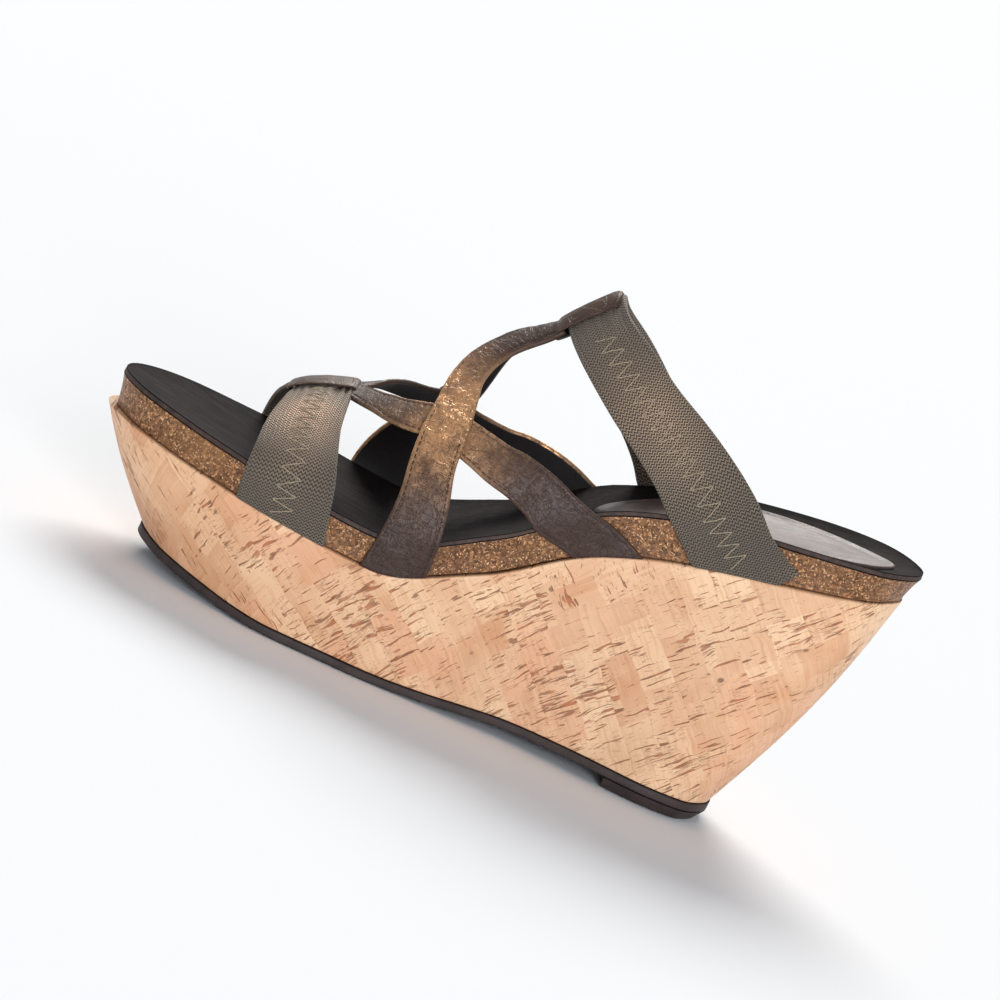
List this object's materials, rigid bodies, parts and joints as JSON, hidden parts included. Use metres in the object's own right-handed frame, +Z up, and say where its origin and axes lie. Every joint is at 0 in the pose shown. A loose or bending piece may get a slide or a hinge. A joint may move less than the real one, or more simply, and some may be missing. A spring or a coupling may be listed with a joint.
{
  "type": "platform wedge sandal",
  "caption": "Right-foot strappy sandal: leather straps looped round two elastic bands, on a dished footbed and a tall cork-covered wedge with a thin outsole and a heel lift",
  "frame": {"origin": "middle of the bounding box's footprint, on the floor plane that the sandal stands on", "axes": "the toe points along -X, the outer side of the foot is +Y and +Z is up"},
  "size_m": [0.2468, 0.091, 0.1374],
  "materials": {
    "rubber": "moulded dark brown rubber, scuffed at the edges",
    "cork": "natural cork sheet, satin, with dark flecks",
    "bronze_cork": "agglomerated cork, bronze brown with pale glints",
    "suede": "very dark brown brushed leather",
    "pad_leather": "grey-brown smooth leather, rubbed",
    "elastic": "ribbed woven elastic, olive grey-brown",
    "strap_leather": "crackled dark leather with a bronze lustre"
  },
  "bodies": {
    "root": {"outsole": "rubber", "heel_lift": "rubber", "wedge": "cork", "midsole": "bronze_cork", "insole": "suede", "heel_pad": "pad_leather", "toe_band": "elastic", "instep_band": "elastic", "leather_lattice": "strap_leather"}
  },
  "joints": []
}
